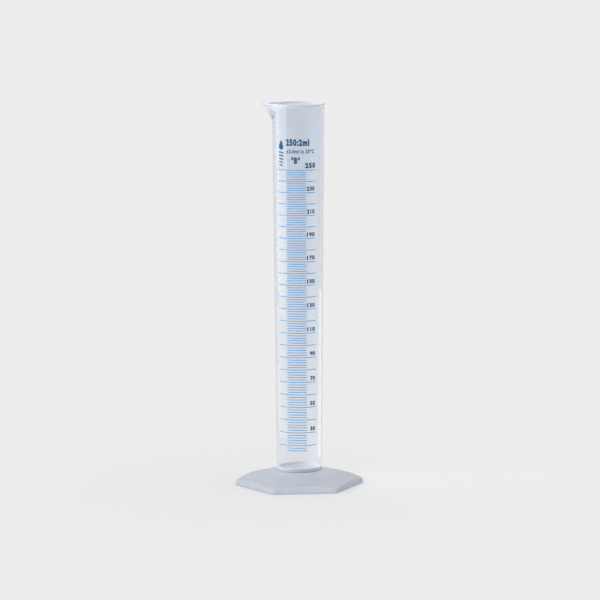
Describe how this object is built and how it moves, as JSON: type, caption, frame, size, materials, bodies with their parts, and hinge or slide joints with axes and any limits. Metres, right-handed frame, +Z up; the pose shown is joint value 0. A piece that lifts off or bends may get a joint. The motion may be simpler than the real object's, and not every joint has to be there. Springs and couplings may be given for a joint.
{
  "type": "graduated cylinder",
  "caption": "Tall translucent plastic measuring cylinder with a pouring spout, a printed millilitre scale and a hollow hexagonal foot.",
  "frame": {"origin": "centre of the hexagonal foot's underside, on the tube's axis", "axes": "+Z up along the tube's axis, -Y out of the middle of the printed scale, -X towards the pouring spout"},
  "size_m": [0.1032, 0.0996, 0.315],
  "materials": {
    "clear_polypropylene": "translucent, smooth moulded surface, faint blue-grey tint",
    "milky_polypropylene": "milkier translucent moulding, satin gloss",
    "blue_printing_ink": "screen-printed blue ink"
  },
  "bodies": {
    "root": {"measuring_tube": "clear_polypropylene", "hex_foot": "milky_polypropylene", "graduation_020_ml": "blue_printing_ink", "graduation_030_ml": "blue_printing_ink", "graduation_040_ml": "blue_printing_ink", "graduation_050_ml": "blue_printing_ink", "graduation_060_ml": "blue_printing_ink", "graduation_070_ml": "blue_printing_ink", "graduation_080_ml": "blue_printing_ink", "graduation_090_ml": "blue_printing_ink", "graduation_100_ml": "blue_printing_ink", "graduation_110_ml": "blue_printing_ink", "graduation_120_ml": "blue_printing_ink", "graduation_130_ml": "blue_printing_ink", "graduation_140_ml": "blue_printing_ink", "graduation_150_ml": "blue_printing_ink", "graduation_160_ml": "blue_printing_ink", "graduation_170_ml": "blue_printing_ink", "graduation_180_ml": "blue_printing_ink", "graduation_190_ml": "blue_printing_ink", "graduation_200_ml": "blue_printing_ink", "graduation_210_ml": "blue_printing_ink", "graduation_220_ml": "blue_printing_ink", "graduation_230_ml": "blue_printing_ink", "graduation_240_ml": "blue_printing_ink", "graduation_250_ml": "blue_printing_ink"}
  },
  "joints": []
}
